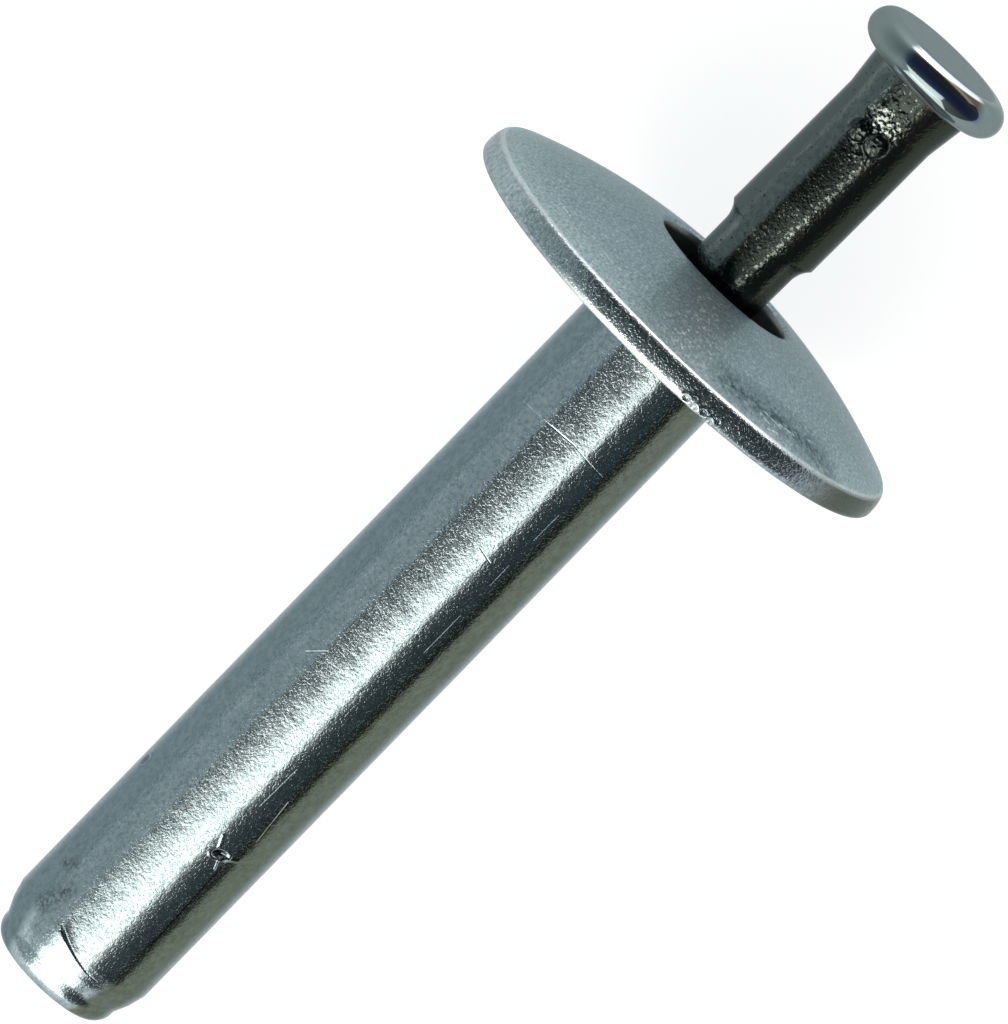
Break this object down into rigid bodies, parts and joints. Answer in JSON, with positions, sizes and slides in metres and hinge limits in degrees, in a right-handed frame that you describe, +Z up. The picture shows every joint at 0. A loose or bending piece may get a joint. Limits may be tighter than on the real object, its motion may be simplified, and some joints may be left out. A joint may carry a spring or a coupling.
{
  "type": "hammer drive rivet",
  "caption": "Flanged aluminium sleeve rivet with a steel drive pin started in its bore, set with a hammer into a drilled hole.",
  "frame": {"origin": "middle of the bounding box, on the surface that the rivet lies on", "axes": "+X along the rivet as seen from above, towards the head of the drive pin; the axis of the rivet rises 11.8 degrees above +X in the XZ plane; +Z up"},
  "size_m": [0.0368, 0.015, 0.0147],
  "materials": {
    "sleeve": "satin, cold formed, lightly scratched",
    "drive_pin": "dark and pitted on the shank, polished on the head"
  },
  "bodies": {
    "root": {"sleeve": "sleeve", "drive_pin": "drive_pin"}
  },
  "joints": []
}
